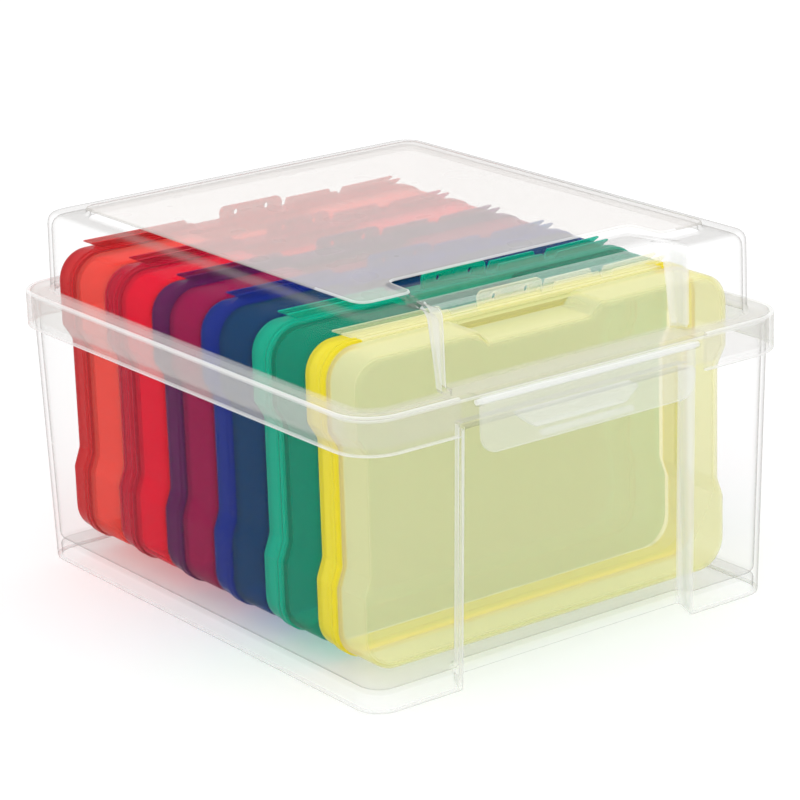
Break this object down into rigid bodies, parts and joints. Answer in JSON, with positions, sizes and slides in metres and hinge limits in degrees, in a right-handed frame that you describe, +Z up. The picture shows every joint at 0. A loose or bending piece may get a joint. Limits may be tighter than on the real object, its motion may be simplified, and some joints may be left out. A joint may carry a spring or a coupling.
{
  "type": "photo keeper case",
  "caption": "Clear carrying box with a hinged lid and a swinging front latch, holding a row of slim coloured two-part cases for photos or small parts",
  "frame": {"origin": "middle of the tub's footprint, on the surface it rests on", "axes": "+X to the right along the front, +Y to the back, +Z up; the latch is on the -Y side"},
  "size_m": [0.2014, 0.24, 0.1461],
  "materials": {
    "clear_plastic": "clear moulded polypropylene, smooth and slightly milky",
    "red_plastic": "translucent red polypropylene, smooth, with a soft gloss",
    "crimson_plastic": "translucent crimson polypropylene, smooth, with a soft gloss",
    "purple_plastic": "translucent purple polypropylene, smooth, with a soft gloss",
    "blue_plastic": "translucent blue polypropylene, smooth, with a soft gloss",
    "green_plastic": "translucent green polypropylene, smooth, with a soft gloss",
    "yellow_plastic": "translucent yellow polypropylene, smooth, with a soft gloss"
  },
  "bodies": {
    "tub": {"base_tub": "clear_plastic"},
    "lid": {"lid": "clear_plastic"},
    "latch": {"front_latch": "clear_plastic"},
    "red_case": {"red_case_back": "red_plastic", "red_case_front": "red_plastic"},
    "crimson_case": {"crimson_case_back": "crimson_plastic", "crimson_case_front": "crimson_plastic"},
    "purple_case": {"purple_case_back": "purple_plastic", "purple_case_front": "purple_plastic"},
    "blue_case": {"blue_case_back": "blue_plastic", "blue_case_front": "blue_plastic"},
    "green_case": {"green_case_back": "green_plastic", "green_case_front": "green_plastic"},
    "yellow_case": {"yellow_case_back": "yellow_plastic", "yellow_case_front": "yellow_plastic"}
  },
  "joints": [
    {"name": "lid_hinge", "type": "hinge", "parent": "tub", "child": "lid", "pos_m": [0, 0.11743, 0.0942], "axis": [-1, 0, 0], "range_deg": [0, 110]},
    {"name": "latch_hinge", "type": "hinge", "parent": "lid", "child": "latch", "pos_m": [0, -0.1184, 0.11], "axis": [-1, 0, 0], "range_deg": [0, 80]},
    {"name": "red_case_lift", "type": "slide", "parent": "tub", "child": "red_case", "axis": [0, 0, 1], "range_m": [0, 0.0065]},
    {"name": "crimson_case_lift", "type": "slide", "parent": "tub", "child": "crimson_case", "axis": [0, 0, 1], "range_m": [0, 0.0075]},
    {"name": "purple_case_lift", "type": "slide", "parent": "tub", "child": "purple_case", "axis": [0, 0, 1], "range_m": [0, 0.0075]},
    {"name": "blue_case_lift", "type": "slide", "parent": "tub", "child": "blue_case", "axis": [0, 0, 1], "range_m": [0, 0.0075]},
    {"name": "green_case_lift", "type": "slide", "parent": "tub", "child": "green_case", "axis": [0, 0, 1], "range_m": [0, 0.0075]},
    {"name": "yellow_case_lift", "type": "slide", "parent": "tub", "child": "yellow_case", "axis": [0, 0, 1], "range_m": [0, 0.005]}
  ]
}
